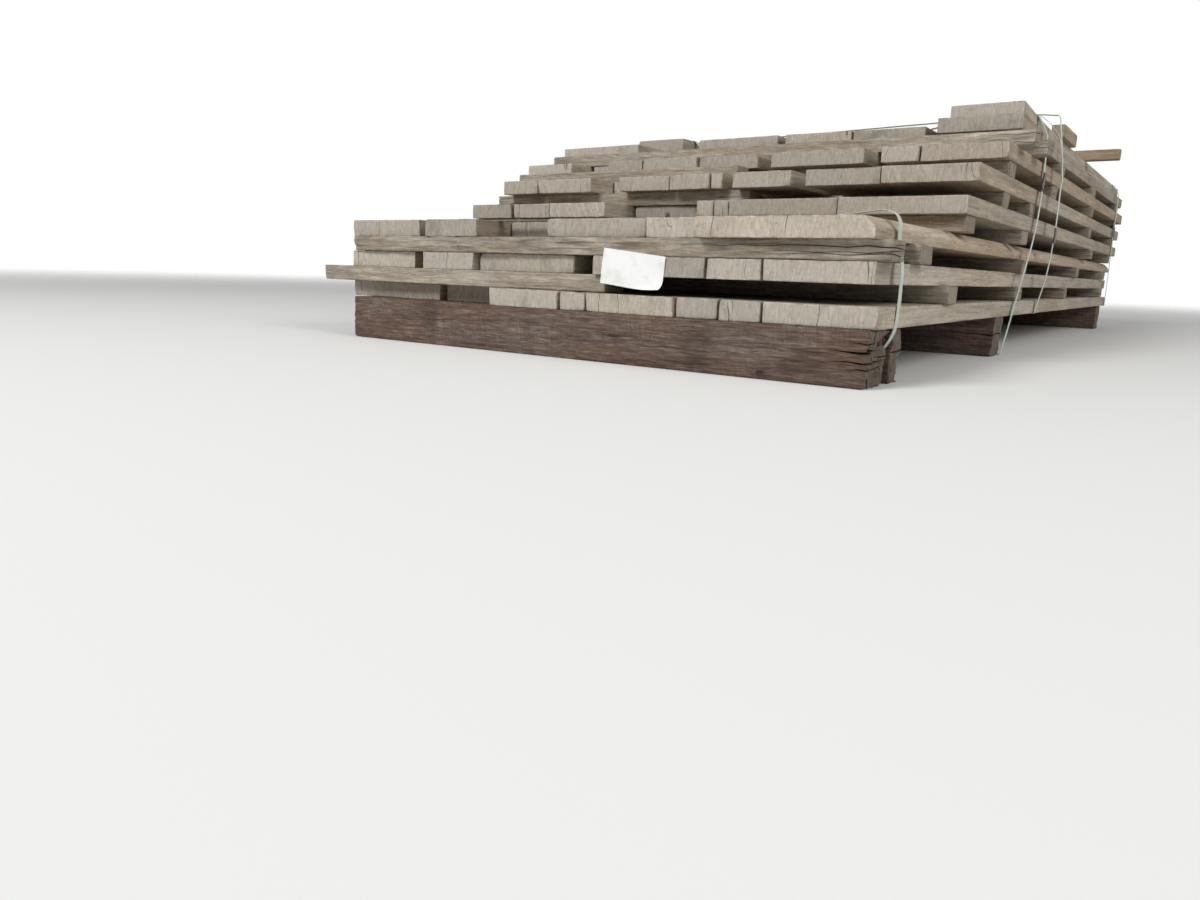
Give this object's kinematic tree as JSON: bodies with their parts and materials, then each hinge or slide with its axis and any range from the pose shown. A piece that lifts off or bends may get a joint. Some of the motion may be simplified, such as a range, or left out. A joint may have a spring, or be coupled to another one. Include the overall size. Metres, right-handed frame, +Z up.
{
  "type": "stack of lumber",
  "caption": "Strapped pack of weathered sawn boards, laid in courses with stickers between them, standing on bearers that leave room for lift forks.",
  "frame": {"origin": "middle of the underside of the second bearer from the front", "axes": "+X to the right across the pack as seen from the label end, +Y along the boards away from the label end, +Z up"},
  "size_m": [1.6848, 3.65, 0.7035],
  "materials": {
    "bearer_wood": "rough sawn, brown grey, cracked at the ends",
    "board_wood": "rough sawn, weathered to beige grey",
    "sticker_wood": "rough sawn battens, weathered darker grey",
    "batten_wood": "rough sawn, fresher warm brown",
    "strap_plastic": "pale green white flat strapping, slightly dusty",
    "seal_steel": "dark folded steel",
    "label_paper": "bare matt white sheet"
  },
  "bodies": {
    "root": {"bearer_front": "bearer_wood", "bearers_rear": "bearer_wood", "course_1": "board_wood", "stickers_1": "sticker_wood", "course_2": "board_wood", "stickers_2": "sticker_wood", "course_3": "board_wood", "stickers_3": "sticker_wood", "course_4": "board_wood", "stickers_4": "sticker_wood", "course_5": "board_wood", "stickers_5": "sticker_wood", "course_6": "board_wood", "stickers_6": "sticker_wood", "course_7": "board_wood", "top_boards": "board_wood", "top_narrow": "batten_wood", "loose_batten": "batten_wood", "strap_front": "strap_plastic", "strap_second": "strap_plastic", "strap_third": "strap_plastic", "strap_rear": "strap_plastic", "strap_seals": "seal_steel", "label": "label_paper"}
  },
  "joints": []
}
